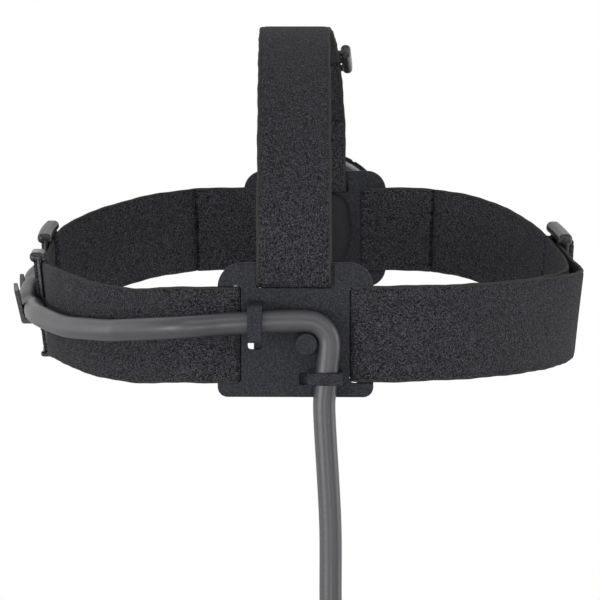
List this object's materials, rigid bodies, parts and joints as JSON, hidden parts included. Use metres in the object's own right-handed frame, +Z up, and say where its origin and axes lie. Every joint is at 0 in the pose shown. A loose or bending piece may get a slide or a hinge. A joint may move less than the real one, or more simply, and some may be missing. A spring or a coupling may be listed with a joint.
{
  "type": "head-harness cap lamp",
  "caption": "Round tilting lamp on a bracket at the front of a three-strap elastic head harness, with its lead held along the left band and hanging from the rear plate.",
  "frame": {"origin": "middle of the wearer's head, level with the middle of the rear band", "axes": "+Z up, the lamp looks along -Y, +X is the wearer's left"},
  "size_m": [0.1654, 0.2644, 0.2627],
  "materials": {
    "moulded_plastic": "fine spark-textured blue-black plastic",
    "elastic": "charcoal knitted elastic with woven edges",
    "strap_elastic": "charcoal knitted elastic",
    "buckle_plastic": "satin black acetal",
    "pad_rubber": "soft black silicone",
    "bracket_metal": "black anodised",
    "screw_steel": "stainless",
    "washer_plastic": "natural acetal",
    "lamp_metal": "bead-blasted black anodised",
    "lens_glass": "clear",
    "reflector_metal": "bright",
    "board_ceramic": "white",
    "led_dome": "yellow phosphor under a clear dome",
    "circuit_board": "green laminate",
    "button_rubber": "soft",
    "cable_rubber": "satin dark grey",
    "tie_fabric": "hook and loop tape",
    "plug_plastic": "moulded",
    "contact_brass": "gilt"
  },
  "bodies": {
    "headset": {"rear_plate": "moulded_plastic", "left_band": "elastic", "right_band": "elastic", "top_strap": "strap_elastic", "left_cable_slide": "buckle_plastic", "front_cable_slide": "buckle_plastic", "right_buckle": "buckle_plastic", "top_buckle": "buckle_plastic", "front_plate": "moulded_plastic", "forehead_pad": "pad_rubber", "yoke": "bracket_metal", "yoke_screw_upper": "screw_steel", "yoke_screw_lower": "screw_steel", "cable_lamp_loop": "cable_rubber", "cable_side_run": "cable_rubber", "cable_drop": "cable_rubber", "cable_coil": "cable_rubber", "coil_tie": "tie_fabric", "plug_boot": "cable_rubber", "plug_body": "plug_plastic", "plug_insert": "contact_brass"},
    "lamp": {"lamp_housing": "lamp_metal", "bezel": "lamp_metal", "lens": "lens_glass", "lens_gasket": "pad_rubber", "reflector": "reflector_metal", "led_board": "board_ceramic", "led": "led_dome", "driver_board": "circuit_board", "tact_switch": "screw_steel", "gland_nut": "lamp_metal", "gland_boot": "cable_rubber", "pivot_screw_left": "screw_steel", "pivot_screw_right": "screw_steel", "pivot_washer_left": "washer_plastic", "pivot_washer_right": "washer_plastic"},
    "button": {"power_button": "button_rubber"}
  },
  "joints": [
    {"name": "lamp_tilt", "type": "hinge", "parent": "headset", "child": "lamp", "pos_m": [0, -0.1326, 0.018], "axis": [1, 0, 0], "range_deg": [-15, 45], "deforming": ["cable_lamp_loop"]},
    {"name": "button_press", "type": "slide", "parent": "lamp", "child": "button", "axis": [0, 0, -1], "range_m": [0, 0.001], "stiffness_N_per_m": 600, "springref_m": -0.002}
  ]
}
